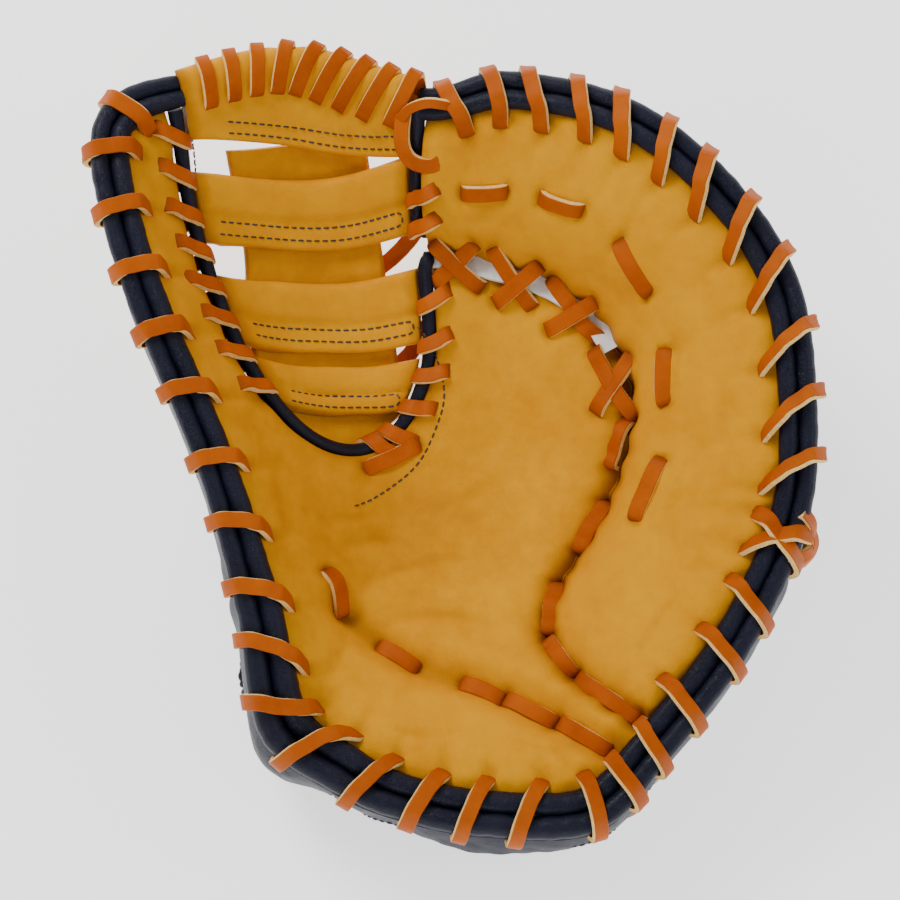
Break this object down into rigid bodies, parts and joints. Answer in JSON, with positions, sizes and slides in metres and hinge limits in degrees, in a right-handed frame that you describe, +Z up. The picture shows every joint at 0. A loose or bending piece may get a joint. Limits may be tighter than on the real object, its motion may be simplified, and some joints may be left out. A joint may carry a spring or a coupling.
{
  "type": "first baseman mitt",
  "caption": "Padded leather first baseman mitt for the left hand, lying palm up, with a laced rim of two rolls, a barred web and an open wrist.",
  "frame": {"origin": "on the floor, under the middle of the mitt's bounding box, as it lies on its back", "axes": "+Z up out of the palm, +Y from the heel to the top of the web, +X from the thumb to the little finger"},
  "size_m": [0.2706, 0.2916, 0.1258],
  "materials": {
    "golden_leather": "smooth golden tan, softly glossy, fine grain",
    "navy_leather": "smooth dark navy, semi-gloss, pebbled grain",
    "lace_leather": "orange-brown rawhide with pale cut edges",
    "thread": "black twisted sewing thread",
    "piping": "white piping"
  },
  "bodies": {
    "root": {"palm_leather": "golden_leather", "finger_crescent": "golden_leather", "back_crescent": "golden_leather", "web_band": "golden_leather", "web_bar_upper": "golden_leather", "web_bar_middle": "golden_leather", "web_bar_base": "golden_leather", "web_post": "golden_leather", "back_shell": "navy_leather", "wrist_strap": "navy_leather", "heel_lining": "navy_leather", "opening_binding": "navy_leather", "rim_roll_outer": "navy_leather", "rim_roll_inner": "navy_leather", "web_edge_roll": "navy_leather", "rim_lace_fingers": "lace_leather", "rim_lace_heel": "lace_leather", "rim_lace_thumb": "lace_leather", "web_lace_finger_side": "lace_leather", "web_lace_thumb_side": "lace_leather", "band_lace": "lace_leather"}
  },
  "joints": []
}
